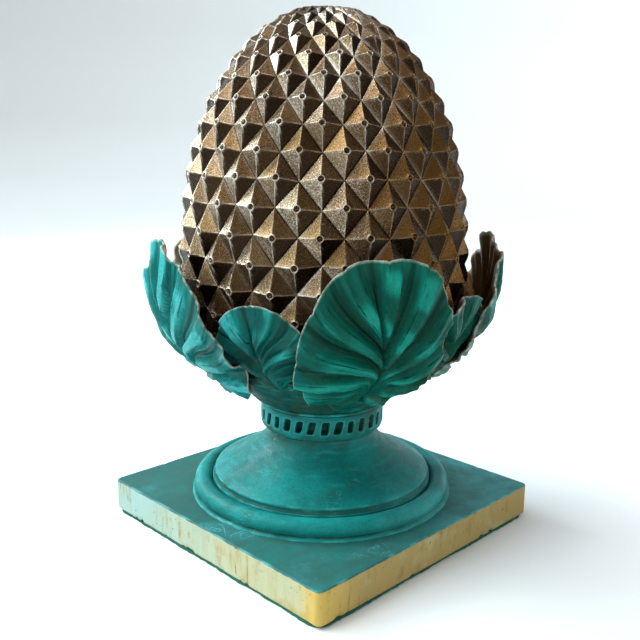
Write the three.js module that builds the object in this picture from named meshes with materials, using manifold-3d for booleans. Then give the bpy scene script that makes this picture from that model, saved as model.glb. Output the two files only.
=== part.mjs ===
// Pinecone finial: a cast pinecone in a calyx of lobed leaves, on a waisted foot and a square plinth.
// Millimetres, +Z up. The origin is the middle of the underside of the felt pad.
// The plinth's sides run along X and Y. Azimuths are degrees round Z, 0 at -Y, growing towards +X.
import * as THREE from 'three';
import { mergeVertices } from 'three/addons/utils/BufferGeometryUtils.js';
import Module from 'manifold-3d';

const wasm = await Module();
wasm.setup();

// Plinth and the felt pad glued under it
const PLINTH_SIDE = 200;
const PLINTH_THICKNESS = 20.5;
const PLINTH_CORNER_RADIUS = 4;
const PLINTH_EDGE_CHAMFER = 0.8;
const FELT_THICKNESS = 2;
const FELT_INSET = 1.6;
const FELT_CORNER_RADIUS = 8;
const GLUE_GAP = 0.3;

// Round foot: torus, stepped skirt and concave flare up to the neck
const FOOT_RADIUS = 85.4;
const TORUS_RADIUS = 6;
const TORUS_LIP = 1.4;
const SKIRT_GAP = 0.2;
const SKIRT_EDGE_HEIGHT = 10.3;
const SKIRT_LIP_HEIGHT = 4;
const SKIRT_LIP_STEP = 1.6;
const GROOVE_DEPTH = 4.5;
const NECK_RADIUS = 36;
const NECK_HEIGHT = 43;

// Slotted collar over the neck, with a bead between two quirks at its top
const COLLAR_OVERHANG = 4.6;
const COLLAR_HEIGHT = 20;
const BEAD_HEIGHT = 2.6;
const BEAD_RELIEF = 0.8;
const SLOT_PITCH = 8.5;
const SLOT_WIDTH = 3.9;
const SLOT_HEIGHT = 8.6;
const SLOT_DEPTH = 6;
const SLOT_RISE = 5.2;
const SLOT_LEAN = 8;

// Cup over the collar, which the leaves are rooted in
const CUP_OVERHANG = 9.4;
const CUP_RISE = 40;
const CUP_LIP_SINK = 1;
const CUP_RIM_SINK = 5;

// Cone: an egg shape whose skin is a net of four-sided scales with a pit in each point
const CONE_RADIUS = 92.4;
const CONE_BASE_DEPTH = 87;
const CONE_CROWN_HEIGHT = 158;
const CONE_CROWN_POWER = 2.2;
const CONE_BASE_POWER = 2.5;
const SCALE_WIDTH = 27.6;
const SCALE_ROW_STEP = 15.9;
const SCALE_RELIEF = 5.5;
const SCALE_PHASE = 44;
const SCALES_BELOW_WAIST = 34.4;
const SCALES_STOP_RADIUS = 6;
const PITS_BELOW_WAIST = 9;
const PITS_STOP_RADIUS = 50;
const PIT_SPAN = 0.2;
const PIT_DEPTH = 1.6;

// Calyx: large and small leaves by turns round the cone
const LEAF_PAIRS = 5;
const LARGE_LEAF_AZIMUTH = 63;
const LARGE_LEAF_WIDTH = 94;
const LARGE_LEAF_LENGTH = 116;
const LARGE_LEAF_RIBS = 12;
const LARGE_LEAF_LEANS = [0, 6, -5, -9, -13];
const SMALL_LEAF_WIDTH = 70;
const SMALL_LEAF_LENGTH = 88;
const SMALL_LEAF_RIBS = 8;
const SMALL_LEAF_INSET = 9;
const SMALL_LEAF_LEANS = [6, -6, 4, -8, -9];
const LEAF_BELLY = 27;
const LEAF_RIM_STANDOFF = 11.6;
const LEAF_RIM_RISE = 18;
const LEAF_ROOT_RISE = 35;
const LEAF_HEEL = 22;
const LEAF_ROOT_INSET = 0.25;
const LEAF_THICKNESS = 3;
const LEAF_ROOT_THICKNESS = 8;
const LEAF_RIB_HEIGHT = 1.7;
const LEAF_SCALLOP = 0.012;
const LEAF_TIP_FLARE = 5;

// Free curves, as degrees of an arc or shares of the height and width that they span
const TORUS_ARC = [-35, 165];
const COLLAR_ARC = [-70, 0];
const FLARE_SPREAD = 0.48;
const FLARE_LIFT = 0.24;
const FLARE_SHOULDER = 0.62;
const CUP_TURN_SPREAD = 0.65;
const CUP_TURN_LIFT = 0.15;
const LEAF_BOWL_HEIGHTS = [0.06, 0.31, 0.62];
const LEAF_INSET_REACH = 0.6;

// How finely round forms are cut into flats
const FOOT_SEGMENTS = 36;
const CORNER_SEGMENTS = 3;
const TORUS_STEPS = 5;
const COLLAR_STEPS = 2;
const FLARE_STEPS = 6;
const CUP_STEPS = 3;
const LEAF_OUTER_REACHES = [0.4, 0.75, 1];
const LEAF_INNER_REACHES = [0.7, 1];

// Heights of the stack, from the ground up
const plinthBase = FELT_THICKNESS + GLUE_GAP;
const plinthTop = plinthBase + PLINTH_THICKNESS;
const neckHeight = plinthTop + NECK_HEIGHT;
const collarTop = neckHeight + COLLAR_HEIGHT;
const coneWaist = collarTop + CONE_BASE_DEPTH;
const coneTop = coneWaist + CONE_CROWN_HEIGHT;

// Radii and counts that follow from the sizes
const skirtRadius = FOOT_RADIUS - 2 * TORUS_RADIUS - SKIRT_GAP;
const collarRadius = NECK_RADIUS + COLLAR_OVERHANG;
const slotCount = Math.round((2 * Math.PI * collarRadius) / SLOT_PITCH);
const scaleColumns = Math.round((2 * Math.PI * CONE_RADIUS) / SCALE_WIDTH);

const radians = THREE.MathUtils.degToRad;
const { clamp, lerp, smoothstep } = THREE.MathUtils;

// Joining and cutting

function solidOf(geometry) {
  const bare = geometry.clone();
  bare.deleteAttribute('normal');
  bare.deleteAttribute('uv');
  const merged = mergeVertices(bare, 1e-4);
  const index = merged.index.array;
  const triangles = [];
  for (let i = 0; i < index.length; i += 3) {
    const [a, b, c] = [index[i], index[i + 1], index[i + 2]];
    if (a !== b && b !== c && c !== a) triangles.push(a, b, c);
  }
  return new wasm.Manifold(new wasm.Mesh({
    numProp: 3,
    vertProperties: Float32Array.from(merged.attributes.position.array),
    triVerts: Uint32Array.from(triangles),
  }));
}

// Fills any small pocket sealed where leaves touch each other or the cone
function withoutPockets(solid) {
  const shells = solid.decompose().filter((shell) => shell.volume() > 0);
  return shells.reduce((whole, shell) => whole.add(shell));
}

function geometryOf(solid) {
  const mesh = solid.getMesh();
  const geometry = new THREE.BufferGeometry();
  geometry.setAttribute('position', new THREE.BufferAttribute(mesh.vertProperties, 3));
  geometry.setIndex(new THREE.BufferAttribute(mesh.triVerts, 1));
  geometry.computeVertexNormals();
  return geometry;
}

function geometryFromTriangles(corners) {
  const positions = corners.flatMap((corner) => [corner.x, corner.y, corner.z]);
  const geometry = new THREE.BufferGeometry();
  geometry.setAttribute('position', new THREE.Float32BufferAttribute(positions, 3));
  return geometry;
}

function polarPoint(radius, azimuth, height) {
  return new THREE.Vector3(radius * Math.sin(azimuth), -radius * Math.cos(azimuth), height);
}

// Plinth and felt

function roundedSquare(side, radius) {
  const reach = side / 2 - radius;
  const shape = new THREE.Shape();
  const quarter = Math.PI / 2;
  shape.absarc(reach, reach, radius, 0, quarter);
  shape.absarc(-reach, reach, radius, quarter, 2 * quarter);
  shape.absarc(-reach, -reach, radius, 2 * quarter, 3 * quarter);
  shape.absarc(reach, -reach, radius, 3 * quarter, 4 * quarter);
  shape.closePath();
  return shape;
}

function slab(side, radius, thickness, base, chamfer) {
  const geometry = new THREE.ExtrudeGeometry(roundedSquare(side, radius), {
    depth: thickness - 2 * chamfer,
    curveSegments: CORNER_SEGMENTS,
    bevelEnabled: chamfer > 0,
    bevelThickness: chamfer,
    bevelSize: chamfer,
    bevelOffset: -chamfer,
    bevelSegments: 1,
  });
  geometry.translate(0, 0, base + chamfer);
  return geometry;
}

// Foot, collar and cup, turned round the axis

function arc(centreRadius, centreHeight, radius, [from, to], steps) {
  const points = [];
  for (let i = 0; i <= steps; i += 1) {
    const angle = radians(from + ((to - from) * i) / steps);
    points.push(new THREE.Vector2(
      centreRadius + radius * Math.cos(angle),
      centreHeight + radius * Math.sin(angle),
    ));
  }
  return points;
}

function footProfile() {
  const embed = plinthTop - PLINTH_THICKNESS / 2;
  const torusCentre = FOOT_RADIUS - TORUS_RADIUS;
  const torusHeight = plinthTop + TORUS_RADIUS - TORUS_LIP / 2;
  const skirtHeight = plinthTop + SKIRT_EDGE_HEIGHT;
  const lipHeight = skirtHeight + SKIRT_LIP_HEIGHT;
  const lipRadius = skirtRadius - SKIRT_LIP_STEP;
  const flare = new THREE.CubicBezierCurve(
    new THREE.Vector2(lipRadius, lipHeight),
    new THREE.Vector2(lerp(NECK_RADIUS, lipRadius, FLARE_SPREAD), lipHeight + FLARE_LIFT * NECK_HEIGHT),
    new THREE.Vector2(NECK_RADIUS, lerp(lipHeight, neckHeight, FLARE_SHOULDER)),
    new THREE.Vector2(NECK_RADIUS, neckHeight),
  );
  const beadBase = collarTop - BEAD_HEIGHT;
  return [
    new THREE.Vector2(0, embed),
    new THREE.Vector2(FOOT_RADIUS + TORUS_LIP, embed),
    new THREE.Vector2(FOOT_RADIUS + TORUS_LIP, plinthTop + TORUS_LIP / 2),
    ...arc(torusCentre, torusHeight, TORUS_RADIUS, TORUS_ARC, TORUS_STEPS),
    new THREE.Vector2(skirtRadius, skirtHeight - GROOVE_DEPTH),
    new THREE.Vector2(skirtRadius, skirtHeight),
    new THREE.Vector2(lipRadius, skirtHeight + SKIRT_LIP_HEIGHT / 2),
    ...flare.getPoints(FLARE_STEPS),
    ...arc(NECK_RADIUS, neckHeight + COLLAR_OVERHANG, COLLAR_OVERHANG, COLLAR_ARC, COLLAR_STEPS),
    new THREE.Vector2(collarRadius, beadBase - BEAD_HEIGHT / 2),
    new THREE.Vector2(collarRadius - BEAD_RELIEF, beadBase),
    new THREE.Vector2(collarRadius + BEAD_RELIEF, collarTop - BEAD_HEIGHT / 2),
    new THREE.Vector2(collarRadius - BEAD_RELIEF, collarTop),
    ...cupProfile(),
  ];
}

// The cup follows the leaves' bowl from just under their heels to just above their roots
function cupProfile() {
  const points = [new THREE.Vector2(
    collarRadius + CUP_TURN_SPREAD * CUP_OVERHANG,
    collarTop + CUP_TURN_LIFT * CUP_OVERHANG,
  )];
  for (let i = 0; i <= CUP_STEPS; i += 1) {
    const share = i / CUP_STEPS;
    const { point, outward } = guideAt(share * CUP_RISE);
    points.push(point.addScaledVector(outward, -lerp(CUP_LIP_SINK, CUP_RIM_SINK, share)));
  }
  points.push(new THREE.Vector2(0, points.at(-1).y));
  return points;
}

function turned(profile) {
  const geometry = new THREE.LatheGeometry(profile, FOOT_SEGMENTS);
  geometry.rotateX(Math.PI / 2);
  return geometry;
}

function slotCutters() {
  const cutters = [];
  const middleHeight = neckHeight + SLOT_RISE + SLOT_HEIGHT / 2;
  for (let i = 0; i < slotCount; i += 1) {
    const cutter = new THREE.BoxGeometry(SLOT_WIDTH, 2 * SLOT_DEPTH, SLOT_HEIGHT);
    cutter.rotateY(radians(SLOT_LEAN));
    cutter.translate(0, -collarRadius, middleHeight);
    cutter.rotateZ((2 * Math.PI * i) / slotCount);
    cutters.push(solidOf(cutter));
  }
  return cutters;
}

// Cone

// A point of the egg through the scales' points, with its outward direction, at a height
function eggAt(height) {
  const above = height >= coneWaist;
  const reach = above ? CONE_CROWN_HEIGHT : CONE_BASE_DEPTH;
  const power = above ? CONE_CROWN_POWER : CONE_BASE_POWER;
  const share = Math.min(Math.abs(height - coneWaist) / reach, 1);
  const level = Math.max(1 - share ** power, 1e-6);
  const radius = CONE_RADIUS * Math.sqrt(level);
  const fall = (CONE_RADIUS * power * share ** (power - 1)) / (2 * Math.sqrt(level) * reach);
  const slope = above ? fall : -fall;
  const length = Math.hypot(1, slope);
  return { radius, height, outward: new THREE.Vector2(1 / length, slope / length) };
}

// Rows of scales close up towards the crown as the egg narrows
function scaleRingHeights() {
  const heights = [];
  let ring = eggAt(coneWaist - SCALES_BELOW_WAIST);
  while (ring.radius > SCALES_STOP_RADIUS && ring.height < coneTop) {
    heights.push(ring.height);
    const climb = SCALE_ROW_STEP * Math.sqrt(ring.radius / CONE_RADIUS) * ring.outward.x;
    ring = eggAt(ring.height + climb);
  }
  return heights;
}

// A point of the net, sunk below the egg along its outward direction
function netPoint(ringHeight, step, sink) {
  const azimuth = radians(SCALE_PHASE) + (Math.PI * step) / scaleColumns;
  const { radius, height, outward } = eggAt(ringHeight);
  return polarPoint(radius - sink * outward.x, azimuth, height - sink * outward.y);
}

function pushScaleFace(corners, point, left, right, floor) {
  const rimLeft = point.clone().lerp(left, PIT_SPAN);
  const rimRight = point.clone().lerp(right, PIT_SPAN);
  corners.push(rimLeft, left, right);
  corners.push(rimLeft, right, rimRight);
  corners.push(floor, rimLeft, rimRight);
}

function coneGeometry() {
  const rings = scaleRingHeights();
  const steps = 2 * scaleColumns;
  const lastRow = rings.length - 1;
  const corners = [];
  const radiusOf = (row) => eggAt(rings[row]).radius;
  const isPoint = (row, step) => (row + step) % 2 === 0 && row > 0 && row < lastRow;
  const hasPits = (row) => rings[row] > coneWaist - PITS_BELOW_WAIST && radiusOf(row) > PITS_STOP_RADIUS;
  const valleySink = (row) => SCALE_RELIEF * Math.sqrt(radiusOf(row) / CONE_RADIUS);
  const at = (row, step) => netPoint(rings[row], step, isPoint(row, step) ? 0 : valleySink(row));
  const pushFace = (row, step, left, right) => {
    if (isPoint(row, step) && hasPits(row)) {
      const floor = netPoint(rings[row], step, SCALE_RELIEF * PIT_SPAN + PIT_DEPTH);
      pushScaleFace(corners, at(row, step), left, right, floor);
    } else {
      corners.push(at(row, step), left, right);
    }
  };
  for (let row = 0; row < lastRow; row += 1) {
    for (let step = 0; step < steps; step += 1) {
      const lower = at(row, step);
      const lowerNext = at(row, step + 1);
      const upperNext = at(row + 1, step + 1);
      const upper = at(row + 1, step);
      if ((row + step) % 2 === 0) {
        pushFace(row, step, lowerNext, upper);
        pushFace(row + 1, step + 1, upper, lowerNext);
      } else {
        pushFace(row, step + 1, upperNext, lower);
        pushFace(row + 1, step, lower, upperNext);
      }
    }
  }
  const top = new THREE.Vector3(0, 0, coneTop);
  const bottom = new THREE.Vector3(0, 0, collarTop);
  for (let step = 0; step < steps; step += 1) {
    corners.push(at(lastRow, step), at(lastRow, step + 1), top);
    corners.push(at(0, step + 1), at(0, step), bottom);
  }
  return geometryFromTriangles(corners);
}

// Leaves

// Section of the bowl that the leaves lie on: x is the distance from the axis, y the height
const leafGuide = new THREE.CubicBezierCurve(
  new THREE.Vector2(collarRadius + CUP_OVERHANG, collarTop + LEAF_BOWL_HEIGHTS[0] * CONE_BASE_DEPTH),
  new THREE.Vector2(CONE_RADIUS, collarTop + LEAF_BOWL_HEIGHTS[1] * CONE_BASE_DEPTH),
  new THREE.Vector2(CONE_RADIUS + LEAF_BELLY, collarTop + LEAF_BOWL_HEIGHTS[2] * CONE_BASE_DEPTH),
  new THREE.Vector2(CONE_RADIUS + LEAF_RIM_STANDOFF, coneWaist + LEAF_RIM_RISE),
);

function guideAt(rise) {
  const length = leafGuide.getLength();
  const share = clamp(rise / length, 0, 1);
  const beyond = rise - share * length;
  const tangent = leafGuide.getTangentAt(share);
  const point = leafGuide.getPointAt(share).addScaledVector(tangent, beyond);
  return { point, outward: new THREE.Vector2(tangent.y, -tangent.x) };
}

// A leaf spreads as a fan from its root. turn goes round its margin, reach from root (0) to margin (1).
function leafPoint(leaf, turn, reach, depth) {
  const scallop = 1 - LEAF_SCALLOP * Math.cos(leaf.ribs * turn);
  const across = (leaf.width / 2) * Math.sin(turn) * scallop;
  const along = leaf.length / 2 - LEAF_HEEL + (leaf.length / 2) * Math.cos(turn) * scallop;
  const lean = radians(leaf.lean);
  const side = reach * (across * Math.cos(lean) + along * Math.sin(lean));
  const rise = reach * (along * Math.cos(lean) - across * Math.sin(lean));
  const { point, outward } = guideAt(LEAF_ROOT_RISE + rise);
  const rib = -LEAF_RIB_HEIGHT * Math.cos(leaf.ribs * turn) * reach;
  const flare = LEAF_TIP_FLARE * Math.max(0, Math.cos(turn)) * reach ** 4;
  const inset = leaf.inset * lerp(LEAF_ROOT_INSET, 1, smoothstep(reach, 0, LEAF_INSET_REACH));
  const offset = rib + flare - inset - depth;
  const azimuth = radians(leaf.azimuth) + side / point.x;
  return polarPoint(point.x + offset * outward.x, azimuth, point.y + offset * outward.y);
}

function leafGeometry(leaf) {
  const steps = 2 * leaf.ribs;
  const corners = [];
  const turnAt = (step) => (Math.PI * (step % steps)) / leaf.ribs;
  const outer = (step, reach) => leafPoint(leaf, turnAt(step), reach, 0);
  const inner = (step, reach) => {
    const thickness = lerp(LEAF_ROOT_THICKNESS, LEAF_THICKNESS, reach);
    return leafPoint(leaf, turnAt(step), reach, thickness);
  };
  const pushSkin = (skin, reaches, flip) => {
    const root = skin(0, 0);
    for (let step = 0; step < steps; step += 1) {
      const first = [root, skin(step + 1, reaches[0]), skin(step, reaches[0])];
      corners.push(...(flip ? first.reverse() : first));
      for (let i = 1; i < reaches.length; i += 1) {
        const near = [skin(step, reaches[i - 1]), skin(step + 1, reaches[i - 1])];
        const far = [skin(step, reaches[i]), skin(step + 1, reaches[i])];
        const quad = [near[0], near[1], far[0], near[1], far[1], far[0]];
        corners.push(...(flip ? quad.reverse() : quad));
      }
    }
  };
  pushSkin(outer, LEAF_OUTER_REACHES, false);
  pushSkin(inner, LEAF_INNER_REACHES, true);
  for (let step = 0; step < steps; step += 1) {
    corners.push(outer(step, 1), outer(step + 1, 1), inner(step, 1));
    corners.push(outer(step + 1, 1), inner(step + 1, 1), inner(step, 1));
  }
  return geometryFromTriangles(corners);
}

function leaves() {
  const pitch = 360 / LEAF_PAIRS;
  const list = [];
  for (let i = 0; i < LEAF_PAIRS; i += 1) {
    list.push({
      azimuth: LARGE_LEAF_AZIMUTH + pitch * i,
      width: LARGE_LEAF_WIDTH,
      length: LARGE_LEAF_LENGTH,
      ribs: LARGE_LEAF_RIBS,
      lean: LARGE_LEAF_LEANS[i % LARGE_LEAF_LEANS.length],
      inset: 0,
    });
    list.push({
      azimuth: LARGE_LEAF_AZIMUTH + pitch * (i + 0.5),
      width: SMALL_LEAF_WIDTH,
      length: SMALL_LEAF_LENGTH,
      ribs: SMALL_LEAF_RIBS,
      lean: SMALL_LEAF_LEANS[i % SMALL_LEAF_LEANS.length],
      inset: SMALL_LEAF_INSET,
    });
  }
  return list;
}

// The two pieces

function castingMesh() {
  let casting = solidOf(slab(
    PLINTH_SIDE,
    PLINTH_CORNER_RADIUS,
    PLINTH_THICKNESS,
    plinthBase,
    PLINTH_EDGE_CHAMFER,
  ));
  casting = casting.add(solidOf(turned(footProfile())));
  casting = casting.add(solidOf(coneGeometry()));
  for (const leaf of leaves()) casting = casting.add(solidOf(leafGeometry(leaf)));
  for (const cutter of slotCutters()) casting = casting.subtract(cutter);
  casting = withoutPockets(casting);
  const material = new THREE.MeshStandardMaterial({ color: 0x1f7a78, roughness: 0.5, metalness: 0 });
  const mesh = new THREE.Mesh(geometryOf(casting), material);
  mesh.name = 'finial_casting';
  return mesh;
}

function feltMesh() {
  const side = PLINTH_SIDE - 2 * FELT_INSET;
  const material = new THREE.MeshStandardMaterial({ color: 0x0d3a22, roughness: 1, metalness: 0 });
  const mesh = new THREE.Mesh(
    geometryOf(solidOf(slab(side, FELT_CORNER_RADIUS, FELT_THICKNESS, 0, 0))),
    material,
  );
  mesh.name = 'felt_pad';
  return mesh;
}

const finial = new THREE.Group();
finial.add(castingMesh(), feltMesh());

export default finial;
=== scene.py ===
import math
from types import SimpleNamespace

import bpy
import numpy as np
from mathutils import Matrix, Vector


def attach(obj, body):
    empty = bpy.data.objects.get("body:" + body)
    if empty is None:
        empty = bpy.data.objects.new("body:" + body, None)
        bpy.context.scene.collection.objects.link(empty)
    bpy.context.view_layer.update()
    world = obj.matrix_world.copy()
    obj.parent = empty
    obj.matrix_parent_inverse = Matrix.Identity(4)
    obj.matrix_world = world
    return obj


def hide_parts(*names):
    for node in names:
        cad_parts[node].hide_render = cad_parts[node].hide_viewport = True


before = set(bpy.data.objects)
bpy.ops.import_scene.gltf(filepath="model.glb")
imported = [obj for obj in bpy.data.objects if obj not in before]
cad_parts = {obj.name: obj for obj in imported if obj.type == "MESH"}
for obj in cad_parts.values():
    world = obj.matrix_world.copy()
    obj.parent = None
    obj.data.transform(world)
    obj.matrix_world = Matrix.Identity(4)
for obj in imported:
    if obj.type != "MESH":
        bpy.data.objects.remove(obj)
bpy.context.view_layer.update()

# Sizes in millimetres and degrees, as in the part's source

MM = 0.001
PLINTH_SIDE = 200
PLINTH_BASE = 2.3
PLINTH_TOP = 22.8
PLINTH_CORNER_RADIUS = 4
PLINTH_TOP_CIRCLE = 83.0
PLINTH_TOP_HOLLOW = 0.10
FOOT_CORNER_RADIUS = 87.2
FELT_SIDE = 196.8
FELT_THICKNESS = 2
FELT_CORNER_RADIUS = 8
FELT_SPREAD = 1.6

FOOT_RADIUS = 85.4
TORUS_RADIUS = 6
TORUS_LIP = 1.4
SKIRT_RADIUS = 73.2
SKIRT_EDGE_HEIGHT = 10.3
SKIRT_LIP_HEIGHT = 4
SKIRT_LIP_STEP = 1.6
GROOVE_DEPTH = 4.5
NECK_RADIUS = 36
NECK_TOP = 65.8
TORUS_ARC = (-35, 165)
FLARE_SPREAD = 0.48
FLARE_LIFT = 10.3
FLARE_SHOULDER = 0.62
COLLAR_OVERHANG = 4.6
COLLAR_RADIUS = 40.6
COLLAR_TOP = 85.8
COLLAR_ARC = (-74, 0)
BEAD_HEIGHT = 2.6
BEAD_RELIEF = 0.8
SLOT_COUNT = 30
SLOT_WIDTH = 4.6
SLOT_HEIGHT = 8.6
SLOT_DEPTH = 4.6
SLOT_MIDDLE = 75.3
SLOT_LEAN = 8
SLOT_SQUARENESS = 5
# Rings from a slot's lip to its floor: wider by, sunk by, how ragged
SLOT_RINGS = ((0.62, 0, 0.3), (0.22, -0.10, 0.6), (0.0, 0.28, 1), (-0.22, 1.4, 1), (-0.5, SLOT_DEPTH, 1))
SLOT_WEAR = (0.25, 0.5, 1, 0.7, 0, 0, 0)
SLOT_RECESS = (0, 0, 0, 0.1, 0.85, 1, 1)
CUP_RISE = 40
CUP_SINK = (1, 5)
CUP_TURN = (6.6, 0.3)

CONE_RADIUS = 92.4
CONE_WAIST = 172.8
CONE_BASE_DEPTH = 87
CONE_CROWN_HEIGHT = 158
CONE_CROWN_POWER = 2.2
CONE_BASE_POWER = 2.5
SCALE_COLUMNS = 21
SCALE_ROW_STEP = 15.9
SCALE_RELIEF = 5.5
SCALE_PHASE = 44
SCALES_BELOW_WAIST = 34.4
SCALES_STOP_RADIUS = 6
SMALL_SCALES_RADIUS = 34
CROWN_SINK = 0.6
PIT_RADIUS = 1.8
PIT_DEPTH = 1.5
POINT_CUT = 1.1
RIM_HEIGHT = 0.55
RIDGE_BEAD = 0.30
RIDGE_WIDTH = 0.34
SEAM_WIDTH = 0.7
SEAM_DEPTH = 0.3
# Where a face's points lie: shares of the way from one ridge to the next; rings outwards in pit radii, in
# shares of the way to the seam and in millimetres from the seam; whether the point has a pit
FINE_NET = {
    "turns": (0, 0.06, 0.24, 0.5, 0.76, 0.94, 1), "rings": (0.3, 0.6, 0.85, 1.0, 1.1, 1.22, 1.42, 1.75),
    "shares": (0.55,), "seams": (3.0, 1.0, 0.5, 0), "pits": True,
}
COARSE_NET = {
    "turns": (0, 0.12, 0.5, 0.88, 1), "rings": (1.1, 1.6), "shares": (0.5,), "seams": (0.8, 0), "pits": False,
}

LEAF_PAIRS = 5
# Each set's common form, and what differs from leaf to leaf. The last list is how lit each leaf is painted:
# more painted highlight on its crests and less painted shade in its troughs.
LEAF_SETS = {
    "large_leaves": (
        {"azimuth": 63, "width": 94, "length": 116, "ribs": 12, "inset": 0, "shade": 0.3},
        {"lean": (0, 6, -5, -9, -13), "bend": (0.42, -0.3, 0.3, -0.35, -0.3),
         "notch": (0.7, 1.1, 0.8, 0.9, 1.2), "point": (-0.05, 0.05, 0.03, 0.05, 0.07),
         "skew": (0.2, -0.15, 0.1, -0.1, -0.12), "rub": (0.95, 1.0, 0.9, 0.9, 1.8)}),
    "small_leaves": (
        {"azimuth": 99, "width": 70, "length": 88, "ribs": 8, "inset": 9, "shade": 0.9},
        {"lean": (6, -6, 4, -8, -9), "bend": (0.4, -0.3, 0.45, -0.4, -0.5),
         "notch": (1.3, 0.9, 0.8, 1.1, 0.5), "point": (0.0, 0.03, 0.02, 0.04, 0.0),
         "skew": (0.15, -0.1, 0.12, -0.15, 0.1), "rub": (0.15, 0.8, 0.9, 0.9, 1.5)}),
}
LEAF_GUIDE = ((50, 91.02), (92.4, 112.77), (119.4, 139.74), (104, 190.8))
LEAF_ROOT_RISE = 35
LEAF_HEEL = 22
LEAF_ROOT_INSET = 0.25
LEAF_INSET_REACH = 0.6
LEAF_THICKNESS = 2.2
LEAF_EDGE_THICKNESS = 1.4
LEAF_ROOT_THICKNESS = 8
LEAF_RIB_HEIGHT = 2.8
LEAF_BRANCHING = 2.1
LEAF_BRANCH_POWER = 2.5
LEAF_FAN_REACH = 0.2
MIDRIB_DEPTH = 1.8
MIDRIB_WIDTH = 1.5
LEAF_RUFFLE = 2.6
LEAF_TIP_FLARE = 5
LEAF_POINTS_PER_RIB = 16
LEAF_RIB_KINDS = 40
LEAF_RIM_REACH = 1.004
LEAF_OUTER_ROWS = np.concatenate([
    [0.001, 0.05], np.arange(0.10, 0.60, 0.018), np.arange(0.60, 0.90, 0.028), [0.93, 0.96, 0.985, 1.0]])
LEAF_INNER_ROWS = np.array([1.0, 0.97, 0.92, 0.85, 0.77, 0.68, 0.6, 0.5, 0.4, 0.3, 0.15, 0.001])

FLOOR_SEGMENTS = 96
# Distance from the axis and height, in metres
FLOOR_PROFILE = ((0.02, 0), (1, 0), (2.4, 0), (3.2, 0.06), (3.8, 0.3), (4.2, 0.8), (4.4, 1.5))
FLOOR_COLOUR = (0.90, 0.90, 0.89)

# The sky's light grows from the first strength to the second towards the window
SKY_COLOUR = (0.92, 0.96, 1.0, 1)
SKY_STRENGTHS = (0.03, 0.85)
WINDOW_SIDE = (-0.62, -0.64, 0.45)

# Name, azimuth, elevation, power and colour of the soft discs
LAMPS = (
    ("overhead", -20, 70, 6, (0.95, 0.98, 1.0)),
    ("side_glint", -76, 28, 22, (0.74, 0.90, 1.0)),
    ("warm_fill", 125, 20, 0.4, (1.0, 0.84, 0.62)),
)
LAMP_DISTANCE = 1.3
LAMP_SIZE = 0.7
LAMP_AIM = 0.17
WINDOW_ANGLE = 55

# The camera, fitted to the photograph's plinth and cone
CAMERA_AZIMUTH = 45
CAMERA_PLACE = (0.00056, -0.52366, 0.25496)
CAMERA_TILT, CAMERA_YAW, CAMERA_ROLL = 0.2234, -0.0048, 0.0110
CAMERA_LENS = 46.16

SEED = 24

# Points closer than a cell are welded; the shift keeps level rows off the borders of cells
WELD_CELLS_PER_MM = 400
WELD_SHIFT = 0.3137


# Points, noise and meshes

def polar(radius, azimuth, height):
    radius, azimuth, height = np.broadcast_arrays(radius, azimuth, height)
    return np.stack([radius * np.sin(azimuth), -radius * np.cos(azimuth), height], -1)


def span(vectors):
    return np.linalg.norm(vectors, axis=-1)


def unit(vectors):
    return vectors / span(vectors)[..., None]


def smooth(value, low, high):
    share = np.clip((value - low) / (high - low), 0, 1)
    return share * share * (3 - 2 * share)


def bump(value, middle, width):
    return np.exp(-(((value - middle) / width) ** 2))


def wobble(points, size, seed, waves=9):
    """Smooth noise of about -1 to 1 that changes over lengths of about size."""
    rng = np.random.default_rng(seed)
    directions = unit(rng.normal(size=(waves, 3)))
    lengths = size * rng.uniform(0.6, 1.7, waves)
    phases = rng.uniform(0, 2 * math.pi, waves)
    angles = points @ (2 * math.pi * directions / lengths[:, None]).T + phases
    return np.sin(angles).sum(-1) / math.sqrt(waves)


def grid_faces(rows, columns, closed=False, flip=False):
    """Quads of a grid of points that is stored row by row."""
    across = columns if closed else columns - 1
    row, column = np.indices((rows - 1, across))
    here = row * columns + column
    beside = row * columns + (column + 1) % columns
    quads = np.stack([here, beside, beside + columns, here + columns], -1).reshape(-1, 4)
    return quads[:, ::-1] if flip else quads


def add_object(name, data):
    thing = bpy.data.objects.new(name, data)
    bpy.context.scene.collection.objects.link(thing)
    return thing


def mesh_object(name, points, faces, material):
    mesh = bpy.data.meshes.new(name)
    mesh.from_pydata(points.tolist(), [], faces)
    mesh.shade_smooth()
    mesh.materials.append(material)
    return add_object(name, mesh)


class Shell:
    """Points, faces and marks of one piece, gathered patch by patch and then welded."""

    def __init__(self, marks):
        self.points, self.faces, self.count = [], [], 0
        self.marks = {name: [] for name in marks}

    def add(self, points, faces, **marks):
        for name, parts in self.marks.items():
            parts.append(np.broadcast_to(marks.get(name, 0.0), points.shape[:-1]).ravel())
        points = points.reshape(-1, 3)
        self.points.append(points)
        self.faces.append(np.asarray(faces) + self.count)
        self.count += len(points)

    def build(self, name, material, replaced="finial_casting"):
        points = np.concatenate(self.points)
        keys = np.floor(points * WELD_CELLS_PER_MM + WELD_SHIFT).astype(np.int64)
        _, first, index = np.unique(keys, axis=0, return_index=True, return_inverse=True)
        index = index.ravel()
        faces = []
        for patch in self.faces:
            for face in index[patch].tolist():
                corners = [c for i, c in enumerate(face) if c != face[i - 1]]
                if len(corners) > 2:
                    faces.append(corners)
        piece = mesh_object(name, points[first] * MM, faces, material)
        for mark, parts in self.marks.items():
            layer = piece.data.attributes.new(mark, "FLOAT", "POINT")
            layer.data.foreach_set("value", np.concatenate(parts)[first].astype(np.float32))
        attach(piece, "root")
        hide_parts(replaced)
        return piece


# Node materials

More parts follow.
